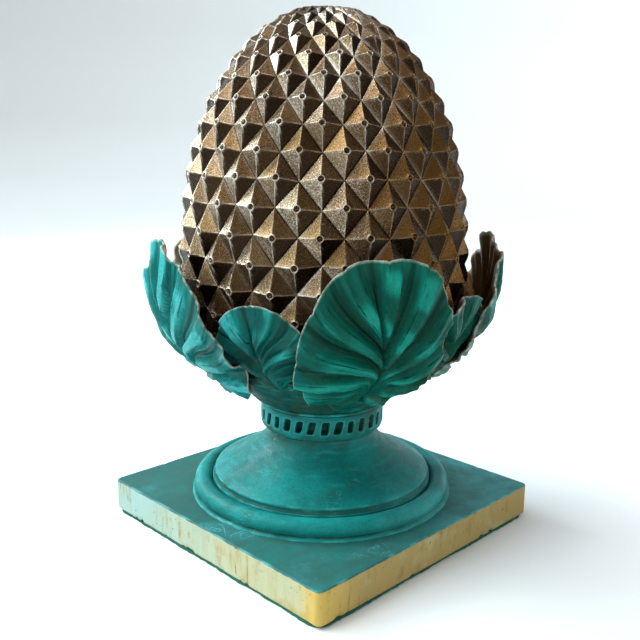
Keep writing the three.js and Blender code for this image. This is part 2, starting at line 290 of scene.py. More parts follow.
class Paint:
    """A node material on the object's own coordinates, in metres."""

    def __init__(self, name):
        self.material = bpy.data.materials.new(name)
        self.material.use_nodes = True
        self.tree = self.material.node_tree
        self.shader = self.tree.nodes["Principled BSDF"]
        self.place = self.node("ShaderNodeTexCoord").outputs["Object"]

    def node(self, kind, inputs=(), **settings):
        node = self.tree.nodes.new(kind)
        for name, value in settings.items():
            setattr(node, name, value)
        for name, value in dict(inputs).items():
            self.feed(node.inputs[name], value)
        return node

    def feed(self, socket, value):
        if isinstance(value, bpy.types.NodeSocket):
            self.tree.links.new(value, socket)
        elif isinstance(value, tuple) and socket.type == "RGBA" and len(value) == 3:
            socket.default_value = (*value, 1)
        else:
            socket.default_value = value

    def stretched(self, scale):
        return self.node("ShaderNodeMapping", {"Vector": self.place, "Scale": scale}).outputs["Vector"]

    def noise(self, size, detail=3, roughness=0.55, place=None, warp=0):
        """Noise from 0 to 1 with features of about size metres."""
        inputs = {"Scale": 1 / size, "Detail": detail, "Roughness": roughness, "Distortion": warp}
        inputs["Vector"] = place or self.place
        return self.node("ShaderNodeTexNoise", inputs).outputs["Fac"]

    def mark(self, name):
        return self.node("ShaderNodeAttribute", attribute_name=name).outputs["Fac"]

    def axis(self, name):
        return self.node("ShaderNodeSeparateXYZ", {"Vector": self.place}).outputs[name]

    def northeast(self):
        """Grows towards the side that lies away from the window."""
        return self.plus(self.axis("X"), self.axis("Y"))

    def ramp(self, value, low, high, start=0.0, end=1.0):
        inputs = {"Value": value, "From Min": low, "From Max": high, "To Min": start, "To Max": end}
        return self.node("ShaderNodeMapRange", inputs, interpolation_type="SMOOTHSTEP").outputs["Result"]

    def calculate(self, operation, first, second=0.0, clamp=False):
        node = self.node("ShaderNodeMath", operation=operation, use_clamp=clamp)
        self.feed(node.inputs[0], first)
        self.feed(node.inputs[1], second)
        return node.outputs[0]

    def plus(self, first, second):
        return self.calculate("ADD", first, second)

    def minus(self, first, second):
        return self.calculate("SUBTRACT", first, second)

    def times(self, first, second, clamp=False):
        return self.calculate("MULTIPLY", first, second, clamp)

    def mix(self, factor, first, second, blend="MIX"):
        node = self.node("ShaderNodeMix", data_type="RGBA", blend_type=blend)
        self.feed(node.inputs["Factor"], factor)
        for socket, value in zip((s for s in node.inputs if s.type == "RGBA"), (first, second)):
            self.feed(socket, value)
        return next(s for s in node.outputs if s.type == "RGBA")

    def lay(self, colour, over, value, low, high, most=1.0):
        """A colour with another laid over it where a value rises from low to high."""
        return self.mix(self.ramp(value, low, high, 0.0, most), colour, over)

    def scaled(self, first, value, low, high, start=0.0, end=1.0):
        return self.times(first, self.ramp(value, low, high, start, end))

    def finish(self, colour, roughness, relief=None, depth=0.0002, metallic=0.0, **plain):
        self.feed(self.shader.inputs["Base Color"], colour)
        self.feed(self.shader.inputs["Roughness"], roughness)
        self.feed(self.shader.inputs["Metallic"], metallic)
        for name, value in plain.items():
            self.shader.inputs[name.replace("_", " ")].default_value = value
        if relief is not None:
            inputs = {"Height": relief, "Strength": 1.0, "Distance": depth}
            self.feed(self.shader.inputs["Normal"], self.node("ShaderNodeBump", inputs).outputs["Normal"])
        return self.material


TEAL = (0.004, 0.145, 0.130)
TEAL_LIGHT = (0.012, 0.315, 0.290)
TEAL_PALE = (0.09, 0.42, 0.43)
TEAL_DARK = (0.0015, 0.030, 0.024)
TEAL_GREY = (0.032, 0.102, 0.088)
LEAF_DEEP = (0.002, 0.060, 0.048)
LEAF_SHADE_TINT = (0.35, 0.88, 0.70)
OLIVE = (0.022, 0.042, 0.020)
BRONZE = (0.150, 0.078, 0.026)
BRONZE_LIGHT = (0.29, 0.175, 0.078)
BRONZE_GREY = (0.260, 0.195, 0.130)
BRONZE_BROWN = (0.070, 0.036, 0.013)
BRONZE_DEEP = (0.160, 0.070, 0.012)
BRONZE_DARK = (0.018, 0.009, 0.004)
BRONZE_RUB_AND_GLINT = (0.95, 0.89, 0.78)
CREAM = (0.42, 0.415, 0.25)
CREAM_COOL = (0.29, 0.43, 0.385)
TAN_STAIN_AND_SHADE = (0.37, 0.25, 0.078)
GRIME = (0.11, 0.065, 0.022)
STAIN = (0.27, 0.165, 0.055)
OCHRE = (0.60, 0.40, 0.09)
FELT_GREEN = (0.003, 0.085, 0.045)
FELT_LIGHT = (0.010, 0.17, 0.095)
PALE_EDGE = (0.50, 0.49, 0.40)


def teal_colour(paint, wear, recess, patches):
    """Verdigris paint: brighter where it stands proud, from rub and painted highlights, and dark green and
    olive where painted shade and grime lie.
    """
    broad = paint.noise(0.045, 3, 0.5)
    cloud = paint.noise(0.014, 4, 0.6, warp=0.4)
    fine = paint.noise(0.0018, 5, 0.65)
    colour = paint.lay(TEAL, TEAL_LIGHT, broad, 0.40, 0.66, 0.55)
    colour = paint.mix(paint.ramp(cloud, 0.48, 0.74, 0, patches), colour, OLIVE)
    # Paler where rubbed and where highlights are painted
    rub_and_highlight = paint.scaled(wear, cloud, 0.25, 0.60, 0.55, 1.0)
    colour = paint.mix(paint.times(rub_and_highlight, 1.2, clamp=True), colour, TEAL_LIGHT)
    pale = paint.times(paint.ramp(rub_and_highlight, 0.45, 0.95), paint.ramp(fine, 0.42, 0.60))
    colour = paint.mix(pale, colour, TEAL_PALE)
    # Painted shade in dark green and olive, which also darkens chips and the corner round the foot on the
    # plinth
    painted_shade = paint.lay(TEAL_DARK, OLIVE, cloud, 0.40, 0.62)
    shaded = paint.times(recess, paint.ramp(fine, 0.3, 0.7, 1.0, 0.82), clamp=True)
    colour = paint.mix(shaded, colour, painted_shade)
    return paint.lay(colour, TEAL_DARK, fine, 0.38, 0.7, 0.25)


def scuffs(paint, scale, size):
    """Thin scratches here and there."""
    lines = paint.noise(size, 2, 0.4, paint.stretched(scale), warp=1.2)
    apart = paint.calculate("ABSOLUTE", paint.minus(lines, 0.5))
    band = paint.minus(1, paint.ramp(apart, 0.0, 0.012))
    return paint.scaled(band, paint.noise(0.03, 2), 0.55, 0.68)


def painted_sheen(paint, near, far, strength):
    """A cloudy pale painted sheen that grows towards the side away from the window, standing in for light
    there.
    """
    cloud = paint.ramp(paint.noise(0.02, 5, 0.7), 0.36, 0.62, 0.35, 1.0)
    return paint.times(paint.ramp(paint.northeast(), near, far, 0, strength), cloud)


def teal_material():
    paint = Paint("verdigris_paint")
    colour = teal_colour(paint, paint.mark("wear"), paint.mark("recess"), 0.30)
    # Circling brush strokes, and an olive bloom towards the neck
    strokes = paint.noise(0.006, 4, 0.6, paint.stretched((0.35, 0.35, 2.2)))
    colour = paint.lay(colour, TEAL_LIGHT, strokes, 0.50, 0.70, 0.40)
    bloom = paint.times(paint.ramp(paint.axis("Z"), 0.045, 0.066), paint.noise(0.03, 4, 0.6))
    colour = paint.lay(colour, OLIVE, bloom, 0.45, 0.62, 0.60)
    # Painted sheen, paler towards the side away from the window
    colour = paint.mix(painted_sheen(paint, 0.03, 0.10, 0.40), colour, TEAL_PALE)
    scratch = scuffs(paint, (1, 1.6, 3), 0.012)
    colour = paint.mix(paint.times(scratch, 0.6), colour, TEAL_PALE)
    relief = paint.plus(paint.noise(0.0016, 4, 0.7), strokes)
    roughness = paint.ramp(paint.noise(0.01, 3), 0.3, 0.7, 0.38, 0.60)
    return paint.finish(colour, roughness, relief, 0.00022, Specular_IOR_Level=0.12)


def bronze_colour(paint, wear, recess, tarnish):
    """Gold-brown metallic paint, specked with gold, bright on edges from rub and painted highlights and
    glints, grey with painted reflection, and brown-black where shade is painted in.
    """
    broad = paint.noise(0.03, 3)
    fleck = paint.noise(0.0008, 4, 0.75)
    colour = paint.lay(BRONZE, BRONZE_LIGHT, broad, 0.35, 0.68, 0.6)
    # Painted shade: deeper and browner towards the side away from the window, with less grey painted
    # reflection, fewer bright flecks and less rub and glint there
    far_side_shade = paint.ramp(paint.northeast(), 0.0, 0.085)
    tarnish = paint.times(tarnish, paint.minus(1, far_side_shade))
    colour = paint.mix(tarnish, colour, BRONZE_GREY)
    colour = paint.mix(paint.times(far_side_shade, 0.85), colour, BRONZE_DEEP)
    # Painted shade in brown
    colour = paint.lay(colour, BRONZE_BROWN, recess, 0.10, 0.55)
    bright = paint.ramp(fleck, 0.51, 0.62, 0, 0.60)
    bright = paint.scaled(bright, recess, 0.10, 0.80, 1.0, 0.25)
    bright = paint.scaled(bright, far_side_shade, 0, 1, 1.0, 0.18)
    colour = paint.mix(bright, colour, paint.mix(tarnish, BRONZE_LIGHT, BRONZE_RUB_AND_GLINT))
    colour = paint.lay(colour, BRONZE_DARK, fleck, 0.46, 0.36, 0.75)
    # Painted shade in brown-black where the shade mark is strong
    colour = paint.lay(colour, BRONZE_DARK, recess, 0.50, 0.90, 0.92)
    # Pale rub and painted highlights and glints on edges, fading towards the side away from the window
    rub_and_highlight = paint.scaled(wear, paint.noise(0.006, 4, 0.7), 0.36, 0.60, 0.30, 1.0)
    rub_and_highlight = paint.scaled(rub_and_highlight, far_side_shade, 0, 1, 1.0, 0.10)
    return paint.mix(rub_and_highlight, colour, BRONZE_RUB_AND_GLINT), fleck


def bronze_material():
    paint = Paint("bronze_paint")
    colour, fleck = bronze_colour(paint, paint.mark("wear"), paint.mark("recess"), paint.mark("tarnish"))
    relief = paint.plus(fleck, paint.noise(0.003, 3, 0.6))
    roughness = paint.ramp(fleck, 0.3, 0.7, 0.34, 0.20)
    return paint.finish(colour, roughness, relief, 0.0002, metallic=0.95)


def leaf_material():
    paint = Paint("leaf_paint")
    wear, recess, inside = paint.mark("wear"), paint.mark("recess"), paint.mark("inside")
    teal = teal_colour(paint, wear, recess, 0.40)
    plain = paint.times(paint.ramp(wear, 0.70, 0.15, 0, 0.75), paint.ramp(recess, 0.1, 0.7, 1, 0))
    teal = paint.mix(plain, teal, LEAF_DEEP)
    # Brush streaks that follow the ribs
    rib = paint.mark("rib")
    along = paint.node("ShaderNodeCombineXYZ", {"X": rib, "Y": paint.mark("rise")}).outputs[0]
    streak = paint.noise(0.55, 4, 0.6, along)
    light = paint.times(paint.ramp(streak, 0.54, 0.70, 0, 0.45), paint.ramp(recess, 0.1, 0.6, 1, 0.1))
    teal = paint.mix(light, teal, TEAL_LIGHT)
    teal = paint.lay(teal, TEAL_DARK, streak, 0.48, 0.34, 0.60)
    # Thin veins cut between the ribs and down each crease, darkened as painted shade
    crease = paint.ramp(paint.calculate("ABSOLUTE", paint.calculate("SINE", rib)), 0.34, 0.02)
    wave = paint.calculate("SINE", paint.times(rib, 3))
    vein = paint.ramp(paint.calculate("ABSOLUTE", wave), 0.32, 0.02)
    vein = paint.scaled(vein, paint.noise(0.012, 3), 0.42, 0.62, 0, 0.75)
    vein = paint.times(paint.calculate("MAXIMUM", vein, crease), paint.mark("veined"))
    teal = paint.mix(paint.times(vein, 0.8), teal, TEAL_DARK)
    # Painted shade: darker and greener away from the window
    teal = paint.mix(paint.ramp(paint.northeast(), -0.06, 0.02), teal, LEAF_SHADE_TINT, "MULTIPLY")
    bronze, fleck = bronze_colour(paint, wear, recess, 0.5)
    ragged = paint.plus(inside, paint.ramp(paint.noise(0.003, 4, 0.7), 0.3, 0.7, -0.2, 0.2))
    within = paint.ramp(ragged, 0.50, 0.62)
    colour = paint.mix(within, teal, bronze)
    edge = paint.times(paint.mark("edge"), paint.ramp(paint.noise(0.004, 4, 0.7), 0.40, 0.58, 0.25, 1))
    colour = paint.mix(edge, colour, PALE_EDGE)
    relief = paint.plus(paint.noise(0.0014, 4, 0.7), paint.times(streak, 2.5))
    relief = paint.minus(relief, paint.times(vein, 4))
    roughness = paint.ramp(fleck, 0.3, 0.7, 0.46, 0.32)
    return paint.finish(
        colour, roughness, relief, 0.00022, metallic=paint.times(within, 0.7), Specular_IOR_Level=0.07)


def plinth_material():
    paint = Paint("plinth_paint")
    teal = teal_colour(paint, paint.mark("wear"), paint.mark("recess"), 0.12)
    strokes = paint.noise(0.010, 5, 0.65, paint.stretched((1, 0.25, 1)))
    teal = paint.mix(paint.ramp(strokes, 0.3, 0.7, 0.55, 0.95), teal, TEAL_GREY)
    teal = paint.lay(teal, TEAL_PALE, paint.noise(0.03, 4, 0.6), 0.50, 0.72, 0.16)
    # Painted sheen, paler towards the side away from the window
    teal = paint.mix(painted_sheen(paint, 0.04, 0.15, 0.55), teal, TEAL_PALE)
    scratch = scuffs(paint, (1, 1, 1), 0.02)
    teal = paint.mix(paint.times(scratch, 0.7), teal, TEAL_PALE)
    teal = paint.mix(paint.times(paint.mark("wear"), 0.6), teal, TEAL_PALE)
    # Bare sides, cool cream on one hand and warm tan on the other, stained in streaks; the tan on the side
    # away from the window is partly the cream's own tone and partly painted shade with warm bounce
    speck = paint.noise(0.0030, 3, 0.6)
    streak = paint.noise(0.005, 4, 0.65, paint.stretched((1, 1, 0.12)))
    cloud = paint.noise(0.018, 4, 0.6)
    across = paint.plus(paint.axis("X"), paint.ramp(cloud, 0.2, 0.8, -0.02, 0.02))
    cream = paint.lay(CREAM_COOL, CREAM, across, -0.09, 0.06)
    cream = paint.lay(cream, TAN_STAIN_AND_SHADE, across, 0.070, 0.098, 0.90)
    cream = paint.lay(cream, TAN_STAIN_AND_SHADE, streak, 0.40, 0.75, 0.35)
    cream = paint.lay(cream, TAN_STAIN_AND_SHADE, cloud, 0.50, 0.78, 0.40)
    stain = paint.noise(0.011, 5, 0.7, paint.stretched((1, 1, 0.45)))
    cream = paint.lay(cream, STAIN, stain, 0.54, 0.68, 0.60)
    corner = paint.times(
        paint.ramp(paint.axis("X"), 0.080, 0.098), paint.ramp(paint.axis("Y"), -0.06, -0.1))
    cream = paint.mix(paint.times(corner, 0.75), cream, OCHRE)
    drips = paint.times(paint.ramp(streak, 0.56, 0.64), paint.ramp(cloud, 0.48, 0.60))
    cream = paint.mix(paint.times(drips, 0.5), cream, GRIME)
    cream = paint.lay(cream, GRIME, speck, 0.66, 0.73, 0.8)
    cream = paint.mix(paint.times(paint.mark("recess"), 0.75), cream, GRIME)
    line = paint.ramp(paint.noise(0.006, 4, 0.65), 0.3, 0.7, 0.0217, 0.0222)
    top = paint.ramp(paint.minus(paint.axis("Z"), line), -0.0002, 0.0003)
    colour = paint.mix(top, cream, teal)
    relief = paint.plus(paint.noise(0.0014, 4, 0.7), paint.scaled(streak, top, 0, 1, 1.0, 0.1))
    roughness = paint.ramp(top, 0, 1, 0.62, 0.50)
    return paint.finish(colour, roughness, relief, 0.0002, Specular_IOR_Level=0.12)


def felt_material():
    paint = Paint("green_felt")
    fibre = paint.noise(0.0007, 5, 0.8, warp=0.8)
    colour = paint.lay(FELT_GREEN, FELT_LIGHT, fibre, 0.35, 0.7)
    colour = paint.lay(colour, TEAL_DARK, paint.noise(0.03, 3), 0.4, 0.7, 0.4)
    return paint.finish(colour, 1.0, fibre, 0.0004)


# Felt pad and plinth

def rounded_square(side, radius, spacing, corner_steps):
    """Points and outward directions round a square with rounded corners, counterclockwise."""
    reach = side / 2 - radius
    count = max(2, round(2 * reach / spacing))
    points, outs = [], []
    for quarter in range(4):
        start = quarter * math.pi / 2
        middle = start + math.pi / 4
        centre = reach * math.sqrt(2) * np.array([math.cos(middle), math.sin(middle)])
        for i in range(corner_steps + 1):
            angle = start + math.pi / 2 * i / corner_steps
            out = np.array([math.cos(angle), math.sin(angle)])
            points.append(centre + radius * out)
            outs.append(out)
        out = np.array([math.cos(start + math.pi / 2), math.sin(start + math.pi / 2)])
        along = np.array([-out[1], out[0]])
        for i in range(1, count):
            points.append(centre + radius * out + along * (2 * reach * i / count))
            outs.append(out)
    return np.array(points), np.array(outs)


def slab_rows(outline, outs, rows):
    """One ring of points for each (inset, height)."""
    rings = [np.column_stack([outline - outs * inset, np.full(len(outline), z)]) for inset, z in rows]
    return np.array(rings)


def add_closed_slab(shell, rings, **marks):
    rows, count, _ = rings.shape
    shell.add(rings, grid_faces(rows, count, closed=True), **marks)
    for ring, flip in ((rings[0], True), (rings[-1], False)):
        middle = ring.mean(0)
        points = np.concatenate([ring, middle[None]])
        here = np.arange(count)
        fan = np.stack([here, (here + 1) % count, np.full(count, count)], -1)
        shell.add(points, fan[:, ::-1] if flip else fan)


def build_felt(material):
    outline, outs = rounded_square(FELT_SIDE, FELT_CORNER_RADIUS, 1.6, 8)
    rows = [
        (12, 0), (3, 0.05), (0.7, 0.1), (0.15, 0.45), (0.05, 1.0), (0.15, 1.6), (0.7, 1.95),
        (3, FELT_THICKNESS), (12, FELT_THICKNESS),
    ]
    rings = slab_rows(outline, outs, rows)
    fuzz = 0.22 * wobble(rings, 2.2, SEED) + 0.35 * wobble(rings, 25, SEED + 1) + 1.0
    edge = np.array([0, 0, 0.6, 1, 1, 1, 0.6, 0, 0])[:, None]
    rings[..., :2] += np.minimum(fuzz * edge, FELT_SPREAD)[..., None] * outs
    shell = Shell(())
    add_closed_slab(shell, rings)
    return shell.build("felt_pad_fuzzy", material, "felt_pad")


def build_plinth(material):
    outline, outs = rounded_square(PLINTH_SIDE, PLINTH_CORNER_RADIUS, 1.3, 7)
    side_rows = [
        (9, PLINTH_BASE), (0.9, PLINTH_BASE), (0.35, 2.5), (0.08, 2.9), (0, 3.6), (0, 4.6), (0, 6), (0, 8.5),
        (0, 11.5), (0, 14.5), (0, 17.5), (0, 19.8), (0, 21.2), (0.05, 21.9), (0.25, 22.45), (0.7, 22.75),
        (1.2, PLINTH_TOP), (2, PLINTH_TOP), (3.2, PLINTH_TOP),
    ]
    lower_edge, side, upper_edge = slice(1, 4), slice(6, 7), slice(12, 17)
    rings = slab_rows(outline, outs, side_rows)
    heights = rings[:, 0, 2][:, None]
    onto = np.repeat(rings[side], len(side_rows), 0)
    # Soft waves on the cut sides, crumbled lower edge, small nicks in the top edge
    wave = 0.10 * wobble(onto, 40, SEED + 2) + 0.05 * wobble(onto, 8, SEED + 3) - 0.12
    crumble = np.clip(wobble(onto, 7, SEED + 4) + 0.9 * wobble(onto, 30, SEED + 5) - 1.15, 0, 1.1)
    low = 1 - smooth(heights, 2.6, 5.6)
    nick = np.clip(wobble(onto, 5, SEED + 6) + wobble(onto, 19, SEED + 7) - 1.9, 0, 0.8)
    high = smooth(heights, 20.6, 22.4)
    inset = wave * (heights > PLINTH_BASE + 0.01) * (1 - 0.5 * high) - 0.8 * crumble * low - 0.6 * nick * high
    fade = np.array([0 if row[0] > 1.5 else 1 for row in side_rows])[:, None]
    rings[..., :2] += (np.minimum(inset, 0) * fade)[..., None] * outs
    rings[..., 2] -= 0.25 * nick * high * fade
    rings[lower_edge, :, 2] += 0.7 * crumble[lower_edge] * np.array([1, 0.9, 0.6])[:, None]
    # The top runs from the square edge in to a circle under the foot
    inner = rings[-1]
    angle = np.arctan2(inner[:, 0], -inner[:, 1])
    circle = polar(PLINTH_TOP_CIRCLE, angle, PLINTH_TOP)
    shares = np.array([0.06, 0.16, 0.3, 0.45, 0.6, 0.75, 0.88, 1])[:, None, None]
    top = inner + (circle - inner) * shares
    hollow = PLINTH_TOP_HOLLOW * (1 + wobble(top, 40, SEED + 8))
    top[..., 2] = PLINTH_TOP - hollow * np.sin(np.pi * shares[..., 0])
    rings = np.concatenate([rings, top])
    edge = np.zeros(rings.shape[:2])
    edge[upper_edge] = np.array([0.1, 0.35, 0.8, 0.7, 0.35])[:, None] * smooth(
        wobble(rings[upper_edge], 11, SEED + 9), -0.4, 0.9)
    chips_and_corner = np.zeros(rings.shape[:2])
    chips_and_corner[:len(side_rows)] = np.clip(crumble * low + 1.5 * nick * high, 0, 1)
    # Darker in the corner round the foot
    seat = bump(span(rings[..., :2]), FOOT_CORNER_RADIUS, 2.2) * (rings[..., 2] > 22)
    chips_and_corner = np.maximum(chips_and_corner, 0.8 * seat)
    shell = Shell(("wear", "recess"))
    add_closed_slab(shell, rings, wear=edge, recess=chips_and_corner)
    return shell.build("plinth", material)


# Foot, collar and cup

def arc(radius, height, size, start, end, steps):
    angles = np.radians(np.linspace(start, end, steps + 1))
    return [(radius + size * math.cos(a), height + size * math.sin(a)) for a in angles]


def bezier(points, steps):
    share = np.linspace(0, 1, steps + 1)[:, None]
    points = [np.array(point, float) for point in points]
    while len(points) > 1:
        points = [a * (1 - share) + b * share for a, b in zip(points, points[1:])]
    return points[0]


guide = bezier(LEAF_GUIDE, 600)
guide_lengths = np.concatenate([[0], np.cumsum(span(np.diff(guide, axis=0)))])
guide_slopes = unit(np.gradient(guide, axis=0))


def guide_at(rise):
    """Distance from the axis, height and outward direction of the leaves' bowl."""
    inside = np.clip(rise, 0, guide_lengths[-1])
    point = np.stack([np.interp(inside, guide_lengths, guide[:, i]) for i in (0, 1)], -1)
    slope = np.stack([np.interp(inside, guide_lengths, guide_slopes[:, i]) for i in (0, 1)], -1)
    point = point + slope * (rise - inside)[..., None]
    return point, np.stack([slope[..., 1], -slope[..., 0]], -1)


def foot_profile():
    top = PLINTH_TOP
    skirt = top + SKIRT_EDGE_HEIGHT
    lip = skirt + SKIRT_LIP_HEIGHT
    lip_radius = SKIRT_RADIUS - SKIRT_LIP_STEP
    outer = FOOT_RADIUS + TORUS_LIP
    rows = [
        (0, top - 2), (outer - 2, top - 2), (outer, top - 1), (outer, top + 0.35), (outer - 0.4, top + 0.7),
    ]
    rows += arc(FOOT_RADIUS - TORUS_RADIUS, top + TORUS_RADIUS - 0.7, TORUS_RADIUS, *TORUS_ARC, 18)
    rows += [
        (SKIRT_RADIUS + 0.25, skirt - GROOVE_DEPTH + 0.2), (SKIRT_RADIUS - 0.05, skirt - 3.4),
        (SKIRT_RADIUS, skirt - 0.7), (SKIRT_RADIUS - 0.15, skirt - 0.2), (SKIRT_RADIUS - 0.5, skirt + 0.1),
        (lip_radius + 0.25, skirt + 1.3), (lip_radius + 0.05, skirt + 1.9), (lip_radius + 0.1, lip - 0.9),
        (lip_radius - 0.05, lip - 0.35), (lip_radius - 0.45, lip - 0.02),
    ]
    spread = NECK_RADIUS + FLARE_SPREAD * (lip_radius - NECK_RADIUS)
    shoulder = lip + FLARE_SHOULDER * (NECK_TOP - lip)
    flare = bezier([
        (lip_radius, lip), (spread, lip + FLARE_LIFT), (NECK_RADIUS, shoulder), (NECK_RADIUS, NECK_TOP)], 26)
    rows += [tuple(p) for p in flare[1:]]
    rows += arc(NECK_RADIUS, NECK_TOP + COLLAR_OVERHANG, COLLAR_OVERHANG, *COLLAR_ARC, 9)
    return np.array(rows)


def cup_profile():
    bead = COLLAR_TOP - BEAD_HEIGHT
    inner = COLLAR_RADIUS - BEAD_RELIEF
    rows = [
        (COLLAR_RADIUS, bead - 1.3), (COLLAR_RADIUS - 0.15, bead - 0.9), (inner, bead - 0.35), (inner, bead),
    ]
    rows += arc(COLLAR_RADIUS - 0.25, bead + 1.0, 0.95, -80, 80, 6)
    rows += [(inner, COLLAR_TOP - 0.45), (inner, COLLAR_TOP)]
    rise = np.linspace(0, CUP_RISE, 14)
    point, outward = guide_at(rise)
    rim = point - outward * (CUP_SINK[0] + (CUP_SINK[1] - CUP_SINK[0]) * rise / CUP_RISE)[:, None]
    turn = (COLLAR_RADIUS + CUP_TURN[0], COLLAR_TOP + CUP_TURN[1])
    rows += [tuple(p) for p in bezier([rows[-1], turn, rim[0]], 9)[1:]]
    rows += [tuple(p) for p in rim[1:]]
    rows += [(0, rim[-1][1])]
    return np.array(rows)


def turned_marks(rows):
    """Wear on rounded edges, and painted shade in hollow corners, from how the profile bends."""
    steps = np.diff(rows, axis=0)
    headings = np.unwrap(np.arctan2(steps[:, 1], steps[:, 0]))
    bends = np.zeros(len(rows))
    bends[1:-1] = np.diff(headings)
    spans = span(steps)
    size = np.ones(len(rows))
    size[1:-1] = np.minimum(spans[1:], spans[:-1])
    curve = bends / np.maximum(size, 0.4)
    return np.clip(curve * 1.1, 0, 1), np.clip(-curve * 1.4, 0, 1)


def add_turned(shell, rows, segments):
    azimuth = np.arange(segments) * 2 * np.pi / segments - np.pi / SLOT_COUNT
    points = polar(rows[:, :1], azimuth, rows[:, 1:])
    edge, hollow = turned_marks(rows)
    ragged = smooth(wobble(points, 13, SEED + 20), -0.9, 0.8)
    out = polar(1, azimuth, 0)
    rough = 0.10 * wobble(points, 9, SEED + 21) + 0.12 * wobble(points, 30, SEED + 22)
    points[1:-1] += rough[1:-1, :, None] * out
    # Painted shade on the cup above the collar, where the leaves overhang it
    under = 0.92 * smooth(rows[:, 1], COLLAR_TOP - 2, COLLAR_TOP + 2)
    shell.add(
        points, grid_faces(len(rows), segments, closed=True),
        wear=edge[:, None] * ragged, recess=np.maximum(hollow, under)[:, None])


def add_slots(shell, low, high, across, up):
    """Hand-cut slots in the collar, one for each cell of the band."""
    rng = np.random.default_rng(SEED + 30)
    pitch = 2 * math.pi / SLOT_COUNT
    half = pitch * COLLAR_RADIUS / 2
    sideways = np.linspace(-half, half, across + 1)
    upwards = np.linspace(low, high, up + 1)
    border = np.concatenate([
        np.column_stack([sideways[:-1], np.full(across, low)]),
        np.column_stack([np.full(up, half), upwards[:-1]]),
        np.column_stack([sideways[::-1][:-1], np.full(across, high)]),
        np.column_stack([np.full(up, -half), upwards[::-1][:-1]]),
    ])
    count = len(border)
    for i in range(SLOT_COUNT):
        width = SLOT_WIDTH / 2 * rng.uniform(0.84, 1.14)
        height = SLOT_HEIGHT / 2 * rng.uniform(0.88, 1.0)
        lean = math.tan(math.radians(SLOT_LEAN + rng.uniform(-3, 6)))
        aside = rng.uniform(-0.3, 0.3)
        middle = SLOT_MIDDLE + rng.uniform(-0.15, 0.25)
        ragged = rng.uniform(-0.14, 0.14, count)
        angle = np.arctan2((border[:, 1] - middle) / height, (border[:, 0] - aside) / width)
        power = SLOT_SQUARENESS
        size = (np.abs(np.cos(angle)) ** power + np.abs(np.sin(angle)) ** power) ** (-1 / power)
        rings = [(border, 0)]
        for extra, depth, rough in SLOT_RINGS:
            up_by = (height + extra) * size * np.sin(angle) + ragged * rough * 0.6
            side_by = (width + extra) * size * np.cos(angle) + ragged * rough
            edge = np.column_stack([aside + side_by + up_by * lean, np.clip(middle + up_by, low, high)])
            rings.append((edge, depth))
        rings.append((np.column_stack([np.full(count, aside), np.full(count, middle)]), SLOT_DEPTH + 0.1))
        flat = np.array([ring for ring, _ in rings])
        depths = np.array([depth for _, depth in rings])[:, None]
        azimuth = flat[..., 0] / COLLAR_RADIUS + i * pitch
        points = polar(COLLAR_RADIUS - depths, azimuth, flat[..., 1])
        shell.add(
            points, grid_faces(len(rings), count, closed=True),
            wear=np.array(SLOT_WEAR)[:, None], recess=np.array(SLOT_RECESS)[:, None])


def build_foot(material):
    shell = Shell(("wear", "recess"))
    across, up = 10, 8
    segments = across * SLOT_COUNT
    foot, cup = foot_profile(), cup_profile()
    add_turned(shell, foot, segments)
    add_turned(shell, cup, segments)
    add_slots(shell, foot[-1, 1], cup[0, 1], across, up)
    return shell.build("foot_and_collar", material)


# Cone

# Painted shade on the upper right, upper left, lower left and lower right faces, as light from the upper left
# would fall
FACE_SHADES = np.array([0.44, 0.12, 0.14, 0.90])
# How grey those faces are painted: painted reflection, strongest on the lower left faces
FACE_REFLECTIONS = np.array([0.05, 0.20, 0.55, 0.10])
# Painted shade that those faces gain towards the side away from the window
FAR_SIDE_SHADES = np.array([0.25, -0.10, 0.75, 0.10])
# How much the ridges to the right, top, left and bottom of a scale's point are rubbed and painted with
# highlights
RIDGE_RUB_AND_HIGHLIGHT = np.array([0.20, 0.30, 1.0, 1.0])
# How much the outer edges of those faces are rubbed and painted with highlights
SEAM_RUB_AND_HIGHLIGHT = np.array([0.1, 1.0, 0.9, 0.0])


def egg(height):
    """Radius at a height, and the outward direction there as (away from the axis, up)."""
    height = np.asarray(height, float)
    above = height >= CONE_WAIST
    reach = np.where(above, CONE_CROWN_HEIGHT, CONE_BASE_DEPTH)
    power = np.where(above, CONE_CROWN_POWER, CONE_BASE_POWER)
    share = np.clip(np.abs(height - CONE_WAIST) / reach, 1e-9, 1)
    level = np.maximum(1 - share ** power, 1e-6)
    radius = CONE_RADIUS * np.sqrt(level)
    fall = CONE_RADIUS * power * share ** (power - 1) / (2 * np.sqrt(level) * reach)
    slope = np.where(above, fall, -fall)
    length = np.hypot(1, slope)
    return radius, 1 / length, slope / length


def scale_rings():
    heights = []
    height = CONE_WAIST - SCALES_BELOW_WAIST
    while height < CONE_WAIST + CONE_CROWN_HEIGHT:
        radius, away, _ = egg(height)
        if radius <= SCALES_STOP_RADIUS:
            break
        heights.append(float(height))
        height += SCALE_ROW_STEP * math.sqrt(radius / CONE_RADIUS) * float(away)
    return np.array(heights)


def outward(points):
    _, away, up = egg(points[..., 2])
    flat = points[..., :2] / np.maximum(span(points[..., :2]), 1e-6)[..., None]
    return np.concatenate([flat * away[..., None], up[..., None]], -1)


